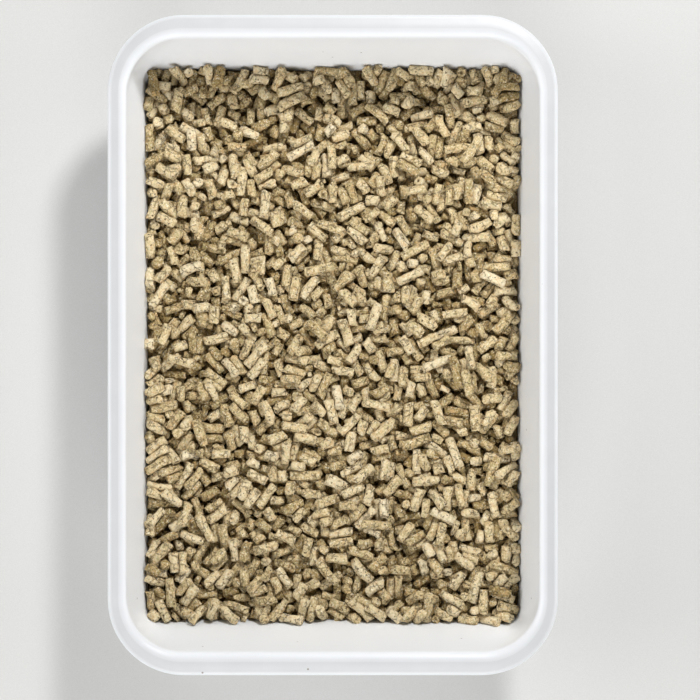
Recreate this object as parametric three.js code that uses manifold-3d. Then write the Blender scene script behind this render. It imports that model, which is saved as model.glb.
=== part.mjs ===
// A household cat litter tray, moulded in one piece, holding a bed of pressed plant-fibre pellets.
// Millimetres, +Z up. The origin is the middle of the tray's underside, and the tray's long way runs along Y.
import * as THREE from "three";
import { mergeVertices } from "three/addons/utils/BufferGeometryUtils.js";
import Module from "manifold-3d";

const wasm = await Module();
wasm.setup();

// Tray, over the rim
const trayWidth = 300;
const trayLength = 440;
const trayHeight = 110;
const rimCornerRadius = 51;
// Tray wall
const wallThickness = 2.2;
const sideDraft = THREE.MathUtils.degToRad(5.7); // the long walls' lean from upright
const endDraft = THREE.MathUtils.degToRad(8.4); // the short walls' lean from upright
const floorCornerRadius = 10; // seen from above, where the walls meet the floor
const cornerOpening = 3; // the corners open towards the mouth as this power of the height
const floorFillet = 9; // between the walls and the floor, inside
// Rolled rim: it rises from the wall to a crest, runs out nearly flat, and turns down to a lip
const sideRimWidth = 12.5;
const endRimWidth = 16;
const crestShare = 0.4; // how far out over the rim its crest lies
const crestDrop = 5; // from the crest down to the top of the wall
const rimFall = 0.8; // from the crest down to where the rim's outer edge starts to round
const rimEdgeRadius = 3.2;
const lipDepth = 13; // from the crest down to the lip's lower edge
// Litter
const fillHeight = 39.5; // the bulk of the litter, under the pellets that show
const pelletDiameter = 6.2;
const shortestPellet = 8;
const longestPellet = 19;
// Pellets that are part of the bed, half sunk into its bulk
const coverPellets = 500;
const coverDrops = 60000; // how many times a pellet is dropped on the bed, to lie only where there is room
const coverRoom = 0.1; // the least space between two of them
const leastShow = 1.6; // how far each stands out of the bulk
const mostShow = 3.4;
const coverTilt = THREE.MathUtils.degToRad(6); // the most that one climbs along its length
const coverFlat = 0.5; // the width of its flat top, in diameters
const coverFoot = 1.5; // its width at its sunk foot, in diameters, so that halfway up it is one diameter wide
// Pellets lying free on the bed
const loosePellets = 28;
const looseSpacing = 34; // the least distance between the middles of two of them
const looseInset = 38; // from the wall to the nearest middle
// Pellets propped against the walls. Each is [place, turn]: the place is a share of the way from the middle of
// the wall to the start of its corner, and the turn is the degrees it is swung from pointing at the wall.
const leastLean = THREE.MathUtils.degToRad(30); // of a pellet that points straight at the wall
const mostLean = THREE.MathUtils.degToRad(52);
const proppedPellets = {
  left: [
    [0.9, 62], [0.71, 30], [0.62, -14], [0.52, 70],
    [-0.9, -20], [-0.78, 66], [-0.66, 48], [-0.57, -25],
  ],
  right: [
    [0.91, 12], [0.79, -35], [0.16, -38], [0.01, 64],
    [-0.91, 52], [-0.62, 44], [-0.51, 60], [-0.4, 15],
  ],
  back: [[-0.9, 38], [-0.72, 8], [-0.32, -22], [0.9, 26], [0.66, -12], [0.42, 62], [0.22, 34]],
  front: [[-0.79, -42], [-0.61, 52], [-0.42, 30], [0.65, 64], [0.46, -46]],
};
// Clearance between separate pieces
const seatGap = 0.3;
// Facets
const cornerSteps = 8;
const curveSteps = 5;
const wallSteps = 6;
const pelletSides = 8;

const quarterTurn = Math.PI / 2;
const pelletRadius = pelletDiameter / 2;
const wallTop = trayHeight - crestDrop;
const floorTop = wallThickness;
const mouthHalfX = trayWidth / 2 - sideRimWidth;
const mouthHalfY = trayLength / 2 - endRimWidth;
const mouthCornerRadius = rimCornerRadius - (sideRimWidth + endRimWidth) / 2;

// The inside of the tray at a height: the halves of its width and length, and its corner radius.
function innerWall(z) {
  const drop = wallTop - z;
  const rise = THREE.MathUtils.inverseLerp(floorTop, wallTop, z);
  return {
    halfX: mouthHalfX - drop * Math.tan(sideDraft),
    halfY: mouthHalfY - drop * Math.tan(endDraft),
    radius: THREE.MathUtils.lerp(floorCornerRadius, mouthCornerRadius, rise ** cornerOpening),
    z,
  };
}

// The inside of the tray at even steps from one height up to another, without those two.
function wallRings(low, high) {
  return Array.from({ length: wallSteps - 1 }, (_, i) =>
    innerWall(THREE.MathUtils.lerp(low, high, (i + 1) / wallSteps)),
  );
}

// The same outline, moved outwards by a distance, or inwards where that is negative.
function grown(ring, distance, z = ring.z) {
  return {
    halfX: ring.halfX + distance,
    halfY: ring.halfY + distance,
    radius: ring.radius + distance,
    z,
  };
}

// The outline that lies a share of the way from one outline to another.
function between(ring, other, share, z) {
  return {
    halfX: THREE.MathUtils.lerp(ring.halfX, other.halfX, share),
    halfY: THREE.MathUtils.lerp(ring.halfY, other.halfY, share),
    radius: THREE.MathUtils.lerp(ring.radius, other.radius, share),
    z,
  };
}

// The points of a rounded rectangle, anticlockwise from above.
function ringPoints({ halfX, halfY, radius, z }) {
  const points = [];
  for (let corner = 0; corner < 4; corner++) {
    const right = corner === 0 || corner === 3 ? 1 : -1;
    const back = corner < 2 ? 1 : -1;
    for (let step = 0; step <= cornerSteps; step++) {
      const angle = (corner + step / cornerSteps) * quarterTurn;
      points.push(
        new THREE.Vector3(
          right * (halfX - radius) + radius * Math.cos(angle),
          back * (halfY - radius) + radius * Math.sin(angle),
          z,
        ),
      );
    }
  }
  return points;
}

// A closed skin through the rings in their order, shut by a flat face across the first and the last.
function loft(rings) {
  const loops = rings.map(ringPoints);
  const count = loops[0].length;
  const vertices = loops.flat();
  const first = vertices.push(new THREE.Vector3(0, 0, rings[0].z)) - 1;
  const last = vertices.push(new THREE.Vector3(0, 0, rings.at(-1).z)) - 1;
  const topLoop = (loops.length - 1) * count;
  const faces = [];
  for (let i = 0; i < count; i++) {
    const next = (i + 1) % count;
    faces.push(first, next, i);
    faces.push(last, topLoop + i, topLoop + next);
    for (let loop = 0; loop < topLoop; loop += count) {
      faces.push(loop + i, loop + next, loop + count + next);
      faces.push(loop + i, loop + count + next, loop + count + i);
    }
  }
  return new THREE.BufferGeometry().setFromPoints(vertices).setIndex(faces);
}

// A quarter of an ellipse as [across, up] pairs. It starts straight across and ends straight up.
function quarterCurve(across, up) {
  return Array.from({ length: curveSteps + 1 }, (_, step) => {
    const angle = (step / curveSteps) * quarterTurn;
    return [across * Math.cos(angle), up * Math.sin(angle)];
  });
}

// A quarter of a curve from one outline up to another above it, starting upright and ending level.
function quarterUp(low, high, rise, z) {
  return quarterCurve(1, rise).map(([across, up]) => between(high, low, across, z + up));
}

// The rounding from the lip to the rim's flat, or under it where the radius is smaller than the rim's own.
function rimRounding(rimEdge, radius, z) {
  return quarterCurve(radius, radius).map(([across, up]) => grown(rimEdge, across - rimEdgeRadius, z + up));
}

// The tray's section as rings, from the underside up the outer wall, round the rim and down the inner wall.
function traySection() {
  const outerFillet = floorFillet + wallThickness;
  const mouth = innerWall(wallTop);
  const rimEdge = {
    halfX: trayWidth / 2,
    halfY: trayLength / 2,
    radius: rimCornerRadius,
  };
  const crest = between(mouth, rimEdge, crestShare);
  const edgeZ = trayHeight - rimFall - rimEdgeRadius;
  const lipZ = trayHeight - lipDepth;
  const underFloor = quarterCurve(outerFillet, outerFillet)
    .map(([across, up]) => grown(innerWall(outerFillet), across - floorFillet, outerFillet - up))
    .reverse();
  const outerWall = wallRings(outerFillet, wallTop).map((ring) => grown(ring, wallThickness));
  const underCrest = quarterUp(grown(mouth, wallThickness), crest, crestDrop - wallThickness, wallTop);
  const underEdge = rimRounding(rimEdge, rimEdgeRadius - wallThickness, edgeZ).reverse();
  const lip = [grown(rimEdge, -wallThickness, lipZ), grown(rimEdge, 0, lipZ)];
  const edge = rimRounding(rimEdge, rimEdgeRadius, edgeZ);
  const innerCrest = quarterUp(mouth, crest, crestDrop, wallTop).reverse();
  const wall = wallRings(floorTop + floorFillet, wallTop).reverse();
  const floor = quarterCurve(floorFillet, floorFillet).map(([across, up]) =>
    grown(innerWall(floorTop + floorFillet), across - floorFillet, floorTop + floorFillet - up),
  );
  const outside = [...underFloor, ...outerWall, ...underCrest, ...underEdge, ...lip];
  return [...outside, ...edge, ...innerCrest, ...wall, ...floor];
}

// A seeded source of numbers from 0 to 1, so that the pellets lie the same each time.
function randomSource(seed) {
  let state = seed;
  return () => {
    state = (state + 0x6d2b79f5) | 0;
    let t = Math.imul(state ^ (state >>> 15), 1 | state);
    t = (t + Math.imul(t ^ (t >>> 7), 61 | t)) ^ t;
    return ((t ^ (t >>> 14)) >>> 0) / 4294967296;
  };
}

// A pellet with its middle at the origin and its length along X, flat side up.
function pelletGeometry(length) {
  return new THREE.CylinderGeometry(pelletRadius, pelletRadius, length, pelletSides)
    .rotateY(Math.PI / pelletSides)
    .rotateZ(quarterTurn);
}

// The same for a pellet that is part of the bed. Its lower half is sunk, so its section only widens downwards.
function coverGeometry(length) {
  const section = new THREE.Shape([
    new THREE.Vector2(-coverFoot * pelletRadius, -pelletRadius),
    new THREE.Vector2(coverFoot * pelletRadius, -pelletRadius),
    new THREE.Vector2(coverFlat * pelletRadius, pelletRadius),
    new THREE.Vector2(-coverFlat * pelletRadius, pelletRadius),
  ]);
  return new THREE.ExtrudeGeometry(section, { depth: length, bevelEnabled: false })
    .translate(0, 0, -length / 2)
    .rotateX(quarterTurn)
    .rotateZ(quarterTurn);
}

// A pellet's pose: lift raises its +X end, turn swings it about Z, and its middle goes to the point.
function pelletPose(turn, lift, point) {
  const angles = new THREE.Euler(0, -lift, turn, "ZYX");
  return new THREE.Matrix4().makeRotationFromEuler(angles).setPosition(point);
}

// The same for a pellet that is part of the bed. Its top climbs towards its +X end, and its ends stay upright,
// so that it leans over nothing.
function coverPose(turn, lift, point) {
  const climb = new THREE.Matrix4().makeShear(0, Math.tan(lift), 0, 0, 0, 0);
  return new THREE.Matrix4().makeRotationZ(turn).multiply(climb).setPosition(point);
}

// A pellet's middle line seen from above, without a stretch at each end.
function planLine(length, pose, endStretch) {
  const reach = length / 2 - endStretch;
  const [start, end] = [-reach, reach].map((x) => new THREE.Vector3(x, 0, 0).applyMatrix4(pose).setZ(0));
  return new THREE.Line3(start, end);
}

// Which side of a line a point is on, seen from above.
function sideOf({ start, end }, point) {
  return Math.sign((end.x - start.x) * (point.y - start.y) - (end.y - start.y) * (point.x - start.x));
}

// The shortest way between two lines seen from above. Lines that cross have none.
function wayBetween(one, other) {
  const parts = (line, by) => sideOf(line, by.start) !== sideOf(line, by.end);
  if (parts(one, other) && parts(other, one)) return 0;
  const nearest = new THREE.Vector3();
  const way = (line, point) => line.closestPointToPoint(point, true, nearest).distanceTo(point);
  return Math.min(way(one, other.start), way(one, other.end), way(other, one.start), way(other, one.end));
}

function toSolid(geometry) {
  const bare = geometry.clone();
  bare.deleteAttribute("normal");
  bare.deleteAttribute("uv");
  const merged = mergeVertices(bare);
  return new wasm.Manifold(
    new wasm.Mesh({
      numProp: 3,
      vertProperties: new Float32Array(merged.attributes.position.array),
      triVerts: new Uint32Array(merged.index.array),
    }),
  );
}

function toGeometry(solid) {
  const mesh = solid.getMesh();
  return new THREE.BufferGeometry()
    .setAttribute("position", new THREE.BufferAttribute(new Float32Array(mesh.vertProperties), 3))
    .setIndex(new THREE.BufferAttribute(new Uint32Array(mesh.triVerts), 1));
}

// The space that the litter may fill, a clearance inside the tray.
function litterSpace(top) {
  const curveZ = floorTop + floorFillet;
  const floorCurve = quarterCurve(floorFillet, floorFillet).map(([across, up]) =>
    grown(innerWall(curveZ), across - floorFillet - seatGap, curveZ - up + seatGap),
  );
  const wall = [...wallRings(curveZ, top), innerWall(top)].map((ring) => grown(ring, -seatGap));
  return [...floorCurve.reverse(), ...wall];
}

// A point on the bed, no nearer to the wall than the inset.
function pointOnBed(random, inset) {
  const { halfX, halfY } = grown(innerWall(fillHeight), -inset);
  return new THREE.Vector3(
    THREE.MathUtils.lerp(-halfX, halfX, random()),
    THREE.MathUtils.lerp(-halfY, halfY, random()),
    fillHeight,
  );
}

// The pellets that are part of the bed, the longest first. Each is dropped until it finds room between the
// others and the free pellets. The corner of a square end reaches the square root of two radii from the end of
// its line.
function coverLayout(random, freePellets) {
  const { halfX, halfY } = grown(innerWall(fillHeight), -seatGap - pelletRadius);
  const inside = ({ x, y }) => Math.abs(x) < halfX && Math.abs(y) < halfY;
  const freeRoom = (1 + Math.SQRT2) * pelletRadius + seatGap;
  const cover = [];
  for (let drop = 0; drop < coverDrops && cover.length < coverPellets; drop++) {
    const length = THREE.MathUtils.lerp(longestPellet, shortestPellet, cover.length / coverPellets);
    const middle = pointOnBed(random, 0);
    middle.z += THREE.MathUtils.lerp(leastShow, mostShow, random()) - pelletRadius;
    const tilt = THREE.MathUtils.lerp(-coverTilt, coverTilt, random());
    const pose = coverPose(Math.PI * random(), tilt, middle);
    const line = planLine(length, pose, pelletRadius);
    const clears = (layout, room) => layout.every((other) => wayBetween(line, other.line) >= room);
    const fits = inside(line.start) && inside(line.end) && clears(freePellets, freeRoom);
    if (fits && clears(cover, pelletDiameter + coverRoom)) cover.push({ length, pose, line });
  }
  return cover;
}

function litterBed(cover) {
  const bulk = toSolid(loft(litterSpace(fillHeight)));
  const pellets = cover.map(({ length, pose }) => toSolid(coverGeometry(length).applyMatrix4(pose)));
  return wasm.Manifold.union([bulk, ...pellets]).intersect(toSolid(loft(litterSpace(wallTop))));
}

// Stands a posed pellet on the bulk of the bed, a clearance over it.
function standOnBed(length, pose) {
  const posed = pelletGeometry(length).applyMatrix4(pose);
  posed.computeBoundingBox();
  const rise = fillHeight + seatGap - posed.boundingBox.min.z;
  return pose.clone().premultiply(new THREE.Matrix4().makeTranslation(0, 0, rise));
}

// The free pellets, the longest first.
function looseLayout(random) {
  const layout = [];
  for (let drop = 0; drop < coverDrops && layout.length < loosePellets; drop++) {
    const middle = pointOnBed(random, looseInset);
    if (layout.some((other) => other.middle.distanceTo(middle) < looseSpacing)) continue;
    const length = THREE.MathUtils.lerp(longestPellet, shortestPellet, layout.length / loosePellets);
    const pose = standOnBed(length, pelletPose(Math.PI * random(), 0, middle));
    layout.push({ length, pose, line: planLine(length, pose, 0), middle });
  }
  return layout;
}

// How far the tray's inner wall is from the middle of the tray at a point: along X at a side wall, along Y at
// an end wall, and less where the corner has started to turn.
function wallReach({ x, y, z }, isSide) {
  const { halfX, halfY, radius } = innerWall(z);
  const [reach, run, along] = isSide ? [halfX, halfY, y] : [halfY, halfX, x];
  const past = Math.max(0, Math.abs(along) - (run - radius));
  return reach - radius + Math.sqrt(radius ** 2 - past ** 2);
}

// A pellet whose lower end stands on the bed and which is pushed out until it meets the wall.
function proppedPellet(facing, isSide, along, turn, lean, length) {
  const outward = new THREE.Vector3(Math.cos(facing), Math.sin(facing), 0);
  const across = isSide ? new THREE.Vector3(0, along, 0) : new THREE.Vector3(along, 0, 0);
  const pose = standOnBed(length, pelletPose(facing + turn, lean, across));
  const corners = pelletGeometry(length).applyMatrix4(pose).getAttribute("position");
  const clearance = seatGap / Math.cos(isSide ? sideDraft : endDraft);
  const rooms = Array.from({ length: corners.count }, (_, i) => {
    const corner = new THREE.Vector3().fromBufferAttribute(corners, i);
    return wallReach(corner, isSide) - corner.dot(outward);
  });
  const reach = outward.multiplyScalar(Math.min(...rooms) - clearance);
  pose.premultiply(new THREE.Matrix4().makeTranslation(reach));
  return { length, pose, line: planLine(length, pose, 0) };
}

// All the propped pellets. One that would meet another is shifted along the wall towards its middle.
function proppedLayout(random) {
  const walls = { left: Math.PI, right: 0, back: quarterTurn, front: -quarterTurn };
  const { halfX, halfY, radius } = innerWall(fillHeight);
  const layout = [];
  for (const [name, facing] of Object.entries(walls)) {
    const isSide = name === "left" || name === "right";
    for (const [place, degrees] of proppedPellets[name]) {
      const turn = THREE.MathUtils.degToRad(degrees);
      const length = THREE.MathUtils.lerp((shortestPellet + longestPellet) / 2, longestPellet, random());
      const lean = THREE.MathUtils.lerp(leastLean, mostLean, random()) * Math.cos(turn);
      let along = place * ((isSide ? halfY : halfX) - radius);
      let pellet = proppedPellet(facing, isSide, along, turn, lean, length);
      while (layout.some((other) => wayBetween(pellet.line, other.line) < pelletDiameter + seatGap)) {
        along -= Math.sign(place) * seatGap;
        pellet = proppedPellet(facing, isSide, along, turn, lean, length);
      }
      layout.push(pellet);
    }
  }
  return layout;
}

const trayMaterial = new THREE.MeshStandardMaterial({ color: 0xf0f1f2, roughness: 0.42, metalness: 0 });
const litterMaterial = new THREE.MeshStandardMaterial({ color: 0xb9a57c, roughness: 0.95, metalness: 0 });

function addPiece(group, name, geometry, material, pose = new THREE.Matrix4()) {
  const mesh = new THREE.Mesh(geometry, material);
  mesh.name = name;
  mesh.applyMatrix4(pose);
  group.add(mesh);
}

function addPellets(group, name, layout) {
  layout.forEach(({ length, pose }, index) => {
    const number = String(index + 1).padStart(2, "0");
    addPiece(group, `${name}_${number}`, pelletGeometry(length), litterMaterial, pose);
  });
}

const propped = proppedLayout(randomSource(7));
const loose = looseLayout(randomSource(8));
const cover = coverLayout(randomSource(9), [...propped, ...loose]);

const group = new THREE.Group();
addPiece(group, "tray", loft(traySection()), trayMaterial);
addPiece(group, "litter_bed", toGeometry(litterBed(cover)), litterMaterial);
addPellets(group, "propped_pellet", propped);
addPellets(group, "loose_pellet", loose);

export default group;
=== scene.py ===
"""A household litter tray filled with pressed plant-fibre pellets, seen from straight above.

The tray is one white moulding with a rolled rim. The pellets are rods of pressed fibre with broken ends.
Those that the frame holds stay where it puts them. The rest are let down between and under them and settle
there. Lengths are metres.
"""

import logging
import math
from dataclasses import dataclass, fields
from enum import Enum

import bpy
import numpy as np
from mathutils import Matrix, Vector


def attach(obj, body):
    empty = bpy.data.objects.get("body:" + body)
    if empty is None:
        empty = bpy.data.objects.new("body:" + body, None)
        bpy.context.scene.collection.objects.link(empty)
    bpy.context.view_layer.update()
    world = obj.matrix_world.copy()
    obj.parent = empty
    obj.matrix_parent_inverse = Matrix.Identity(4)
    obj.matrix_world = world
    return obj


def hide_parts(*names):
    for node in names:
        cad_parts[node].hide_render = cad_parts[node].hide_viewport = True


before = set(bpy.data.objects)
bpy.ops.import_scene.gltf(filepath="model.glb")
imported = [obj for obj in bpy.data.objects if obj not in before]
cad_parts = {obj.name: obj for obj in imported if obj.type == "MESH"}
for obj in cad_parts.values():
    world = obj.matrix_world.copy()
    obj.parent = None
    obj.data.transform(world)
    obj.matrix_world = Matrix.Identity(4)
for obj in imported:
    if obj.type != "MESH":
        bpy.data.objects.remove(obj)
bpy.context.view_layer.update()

log = logging.getLogger("litter_tray")
MM = 0.001
UP = np.array([0.0, 0.0, 1.0])


class Slot(Enum):
    """Names for two material slots, which this script gives to no piece."""

    TRAY = "tray_plastic"
    PELLETS = "pellet_litter"


# Shapes


class Rows:
    """Rows of numbers, kept as one array for each field of a dataclass."""

    def columns(self) -> list[np.ndarray]:
        """The fields' arrays, in their order."""
        return [np.atleast_1d(getattr(self, field.name)) for field in fields(self)]

    @classmethod
    def joined(cls, parts: list) -> "Rows":
        """Puts several sets into one, in their order."""
        return cls(*map(np.concatenate, zip(*(part.columns() for part in parts))))

    def some(self, chosen: slice | np.ndarray) -> "Rows":
        """The rows that a slice, an index or a mask picks."""
        return type(self)(*(column[chosen] for column in self.columns()))


@dataclass
class Outlines(Rows):
    """A stack of rounded rectangles, one for each entry of the arrays."""

    half_x: np.ndarray
    half_y: np.ndarray
    radius: np.ndarray
    z: np.ndarray

    def grown(self, distance: float | np.ndarray, z: float | np.ndarray | None = None) -> "Outlines":
        """Moves the outlines outwards.

        Args:
            distance: how far, or a negative length to move inwards.
            z: new heights, or None to keep them.

        Returns:
            The moved outlines.
        """
        heights = self.z if z is None else z
        moved = [part + distance for part in (self.half_x, self.half_y, self.radius)]
        return Outlines(*np.broadcast_arrays(*moved, heights))

    def towards(self, other: "Outlines", share: np.ndarray, z: np.ndarray) -> "Outlines":
        """Mixes these outlines with others.

        Args:
            other: the outlines at a share of 1.
            share: how far towards them, for each result.
            z: the results' heights.

        Returns:
            The mixed outlines.
        """
        pairs = ((self.half_x, other.half_x), (self.half_y, other.half_y), (self.radius, other.radius))
        return Outlines(*(one + (two - one) * share for one, two in pairs), z)

    def points(self, corner_steps: int, edge_steps: int) -> np.ndarray:
        """Walks round each outline, anticlockwise from above.

        A point is the corner's centre plus the radius times a unit vector. Round a corner the centre stays
        and the vector turns through a right angle. Along an edge the vector stays and the centre goes on to
        the next corner.

        Args:
            corner_steps: steps round each corner.
            edge_steps: steps along each straight edge.

        Returns:
            An array of (outlines, points, 3).
        """
        turn = np.linspace(0.0, math.pi / 2, corner_steps + 1)
        slide = np.linspace(0.0, 1.0, edge_steps + 1)[1:-1]
        signs = np.array([(1, 1), (-1, 1), (-1, -1), (1, -1)], float)
        centres, vectors = [], []
        for corner in range(4):
            angle = corner * math.pi / 2 + turn
            here, following = signs[corner], signs[(corner + 1) % 4]
            last = np.array([math.cos(angle[-1]), math.sin(angle[-1])])
            centres += [np.tile(here, (len(turn), 1)), here + (following - here) * slide[:, None]]
            vectors += [np.stack([np.cos(angle), np.sin(angle)], 1), np.tile(last, (len(slide), 1))]
        centre, vector = np.concatenate(centres), np.concatenate(vectors)
        radius = self.radius[:, None]
        x = centre[:, 0] * (self.half_x[:, None] - radius) + vector[:, 0] * radius
        y = centre[:, 1] * (self.half_y[:, None] - radius) + vector[:, 1] * radius
        return np.stack([x, y, np.broadcast_to(self.z[:, None], x.shape)], 2)

    def backwards(self) -> "Outlines":
        """The same outlines in the opposite order."""
        return self.some(slice(None, None, -1))

    def distinct(self, least: float = 1e-7) -> np.ndarray:
        """Which outlines differ from the one before by more than the least step."""
        step = np.abs(np.diff(self.half_x)) + np.abs(np.diff(self.z))
        return np.append(True, step > least)


def quarter(steps: int) -> tuple[np.ndarray, np.ndarray]:
    """A quarter of a unit circle, from straight across to straight up, as (across, up)."""
    angle = np.linspace(0.0, math.pi / 2, steps + 1)
    return np.cos(angle), np.sin(angle)


def faces_around(loops: int, count: int) -> tuple[np.ndarray, np.ndarray]:
    """The faces that join loops of points and shut the ends with fans.

    The points are numbered loop by loop, and after them come the points in the middle of the first loop and
    of the last.

    Args:
        loops: how many loops.
        count: how many points in each, anticlockwise from outside the last loop.

    Returns:
        The four-cornered faces between the loops and the triangles of the fans.
    """
    corner = np.arange(count)
    after = (corner + 1) % count
    low = np.arange(loops - 1)[:, None] * count
    sides = np.stack([low + corner, low + after, low + count + after, low + count + corner], 2).reshape(-1, 4)
    first, top = loops * count, (loops - 1) * count
    bottom_fan = np.stack([np.full(count, first), after, corner], 1)
    top_fan = np.stack([np.full(count, first + 1), top + corner, top + after], 1)
    return sides, np.concatenate([bottom_fan, top_fan])


def skin(loops: np.ndarray) -> tuple[np.ndarray, np.ndarray]:
    """A closed skin of triangles through loops of points.

    Args:
        loops: an array of (loops, points, 3), anticlockwise from outside the last loop.

    Returns:
        Vertices as (n, 3) and triangles as (m, 3).
    """
    sides, fans = faces_around(*loops.shape[:2])
    vertices = np.concatenate([loops.reshape(-1, 3), loops[:1].mean(1), loops[-1:].mean(1)])
    return vertices, np.concatenate([sides[:, [0, 1, 2]], sides[:, [0, 2, 3]], fans])


def mesh_object(
    name: str, vertices: np.ndarray, smooth: np.ndarray, flat: np.ndarray | None = None
) -> bpy.types.Object:
    """Makes an object from faces of one or two kinds.

    Args:
        name: the object's name.
        vertices: (n, 3) in metres.
        smooth: (m, corners) indices of the faces that are shaded smooth, anticlockwise from outside.
        flat: the same for those that are shaded flat.

    Returns:
        The new object, linked to the scene.
    """
    kinds = [smooth] if flat is None else [smooth, flat]
    corners = np.concatenate([np.full(len(kind), kind.shape[1]) for kind in kinds])
    mesh = bpy.data.meshes.new(name)
    mesh.vertices.add(len(vertices))
    mesh.vertices.foreach_set("co", vertices.astype(np.float32).ravel())
    mesh.loops.add(int(corners.sum()))
    mesh.loops.foreach_set("vertex_index", np.concatenate([kind.ravel() for kind in kinds]).astype(np.int32))
    mesh.polygons.add(len(corners))
    mesh.polygons.foreach_set("loop_start", (np.cumsum(corners) - corners).astype(np.int32))
    mesh.polygons.foreach_set("use_smooth", np.arange(len(corners)) < len(smooth))
    mesh.update(calc_edges=True)
    mesh.validate()
    made = bpy.data.objects.new(name, mesh)
    bpy.context.scene.collection.objects.link(made)
    return made


def point_values(piece: bpy.types.Object, name: str, values: np.ndarray) -> None:
    """Stores one number for each vertex of a piece, for its material to read."""
    piece.data.attributes.new(name, "FLOAT", "POINT").data.foreach_set("value", values.astype(np.float32))


# Tray


@dataclass
class Tray:
    """The moulded tray: its sizes and its surface."""

    width: float = 300 * MM
    length: float = 440 * MM
    height: float = 110 * MM
    rim_corner_radius: float = 51 * MM
    wall: float = 2.2 * MM
    side_draft: float = math.radians(5.7)
    end_draft: float = math.radians(8.4)
    floor_corner_radius: float = 10 * MM
    corner_opening: int = 3
    floor_fillet: float = 9 * MM
    side_rim: float = 12.5 * MM
    end_rim: float = 16 * MM
    crest_share: float = 0.4
    crest_drop: float = 5 * MM
    rim_fall: float = 0.8 * MM
    rim_edge_radius: float = 3.2 * MM
    lip_depth: float = 13 * MM
    lip_edge: float = 0.7 * MM
    # Painted shade at the top of the inner wall, fading out downwards.
    mouth_shade: float = 0.3
    curve_steps: int = 12
    corner_steps: int = 24
    edge_steps: int = 24
    wall_steps: int = 14

    @property
    def wall_top(self) -> float:
        """The height where the wall turns over into the rim."""
        return self.height - self.crest_drop

    def inner_wall(self, z: float | np.ndarray) -> Outlines:
        """The inside of the tray at some heights.

        It narrows downwards by each wall's lean, and its corners open towards the mouth as a power of the
        height.

        Args:
            z: the heights.

        Returns:
            One outline for each height.
        """
        heights = np.atleast_1d(np.asarray(z, float))
        drop = self.wall_top - heights
        mouth_radius = self.rim_corner_radius - (self.side_rim + self.end_rim) / 2
        share = (heights - self.wall) / (self.wall_top - self.wall)
        return Outlines(
            self.width / 2 - self.side_rim - drop * math.tan(self.side_draft),
            self.length / 2 - self.end_rim - drop * math.tan(self.end_draft),
            self.floor_corner_radius + (mouth_radius - self.floor_corner_radius) * share**self.corner_opening,
            heights,
        )

    def section(self) -> tuple[Outlines, np.ndarray]:
        """The tray's surface as outlines: up the outer wall, round the rim and down the inner wall.

        Each bend is a quarter of an ellipse. The rim climbs from the wall to its crest, runs out nearly flat
        and turns down to its lip, and both edges of the lip are rounded.

        Returns:
            The outlines in order, from the middle of the underside to the middle of the floor, and how much
            painted shade each one takes, from 0 to 1.
        """
        across, up = quarter(self.curve_steps)
        outer_fillet = self.floor_fillet + self.wall
        mouth = self.inner_wall(self.wall_top)
        outer_mouth = mouth.grown(self.wall)
        edge = Outlines(
            np.array([self.width / 2]),
            np.array([self.length / 2]),
            np.array([self.rim_corner_radius]),
            np.array([self.height]),
        )
        crest = mouth.towards(edge, np.array([self.crest_share]), edge.z)
        lip_inside = edge.grown(-self.wall)
        edge_z = self.height - self.rim_fall - self.rim_edge_radius
        under_radius = self.rim_edge_radius - self.wall
        lip_z = self.height - self.lip_depth
        climb = np.linspace(0, 1, self.wall_steps + 1)[1:-1]
        bend_out = self.inner_wall(outer_fillet).grown(
            outer_fillet * across - self.floor_fillet, outer_fillet * (1 - up)
        )
        walls_out = self.inner_wall(outer_fillet + (self.wall_top - outer_fillet) * climb).grown(self.wall)
        under_crest_z = self.wall_top + (self.crest_drop - self.wall) * up
        under_crest = crest.towards(outer_mouth, across, under_crest_z)
        under_edge = lip_inside.grown(under_radius * (across - 1), edge_z + under_radius * up)
        lip_in = lip_inside.grown(self.lip_edge * (1 - across), lip_z + self.lip_edge * (1 - up))
        lip_out = edge.grown(self.lip_edge * (up - 1), lip_z + self.lip_edge * (1 - across))
        rim_edge = edge.grown(self.rim_edge_radius * (across - 1), edge_z + self.rim_edge_radius * up)
        flat_end = rim_edge.some(slice(-1, None))
        flat_z = flat_end.z + (crest.z - flat_end.z) * np.sin(climb * math.pi / 2)
        flat = flat_end.towards(crest, climb, flat_z)
        inner_crest = crest.towards(mouth, across, self.wall_top + self.crest_drop * up)
        floor_z = self.wall + self.floor_fillet
        walls_in = self.inner_wall(self.wall_top + (floor_z - self.wall_top) * climb)
        bend_in = self.inner_wall(floor_z).grown(
            (across - 1) * self.floor_fillet, floor_z - self.floor_fillet * up
        )
        # The two numbers with each part are its painted shade at its first and its last outline: most on the
        # rim's top, less on the lip, the underside and the top of the inner wall.
        parts = [
            (bend_out.backwards(), 0.3, 0.0),
            (walls_out, 0.0, 0.2),
            (under_crest, 0.2, 0.2),
            (under_edge.backwards(), 0.2, 0.25),
            (lip_in, 0.25, 0.25),
            (lip_out, 0.25, 0.25),
            (rim_edge, 0.35, 1.0),
            (flat, 1.0, 1.0),
            (inner_crest.backwards(), 0.9, self.mouth_shade),
            (walls_in, self.mouth_shade, 0.0),
            (bend_in, 0.0, 0.0),
        ]
        # The painted shade at each outline.
        wear = np.concatenate([np.linspace(first, last, len(part.z)) for part, first, last in parts])
        whole = Outlines.joined([part for part, _, _ in parts])
        kept = whole.distinct()
        return whole.some(kept), wear[kept]

    def build(self) -> bpy.types.Object:
        """Makes the tray's surface and puts it in place of the frame's plain one."""
        section, wear = self.section()
        loops = section.points(self.corner_steps, self.edge_steps)
        tray = mesh_object("moulded_tray", *skin(loops))
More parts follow.
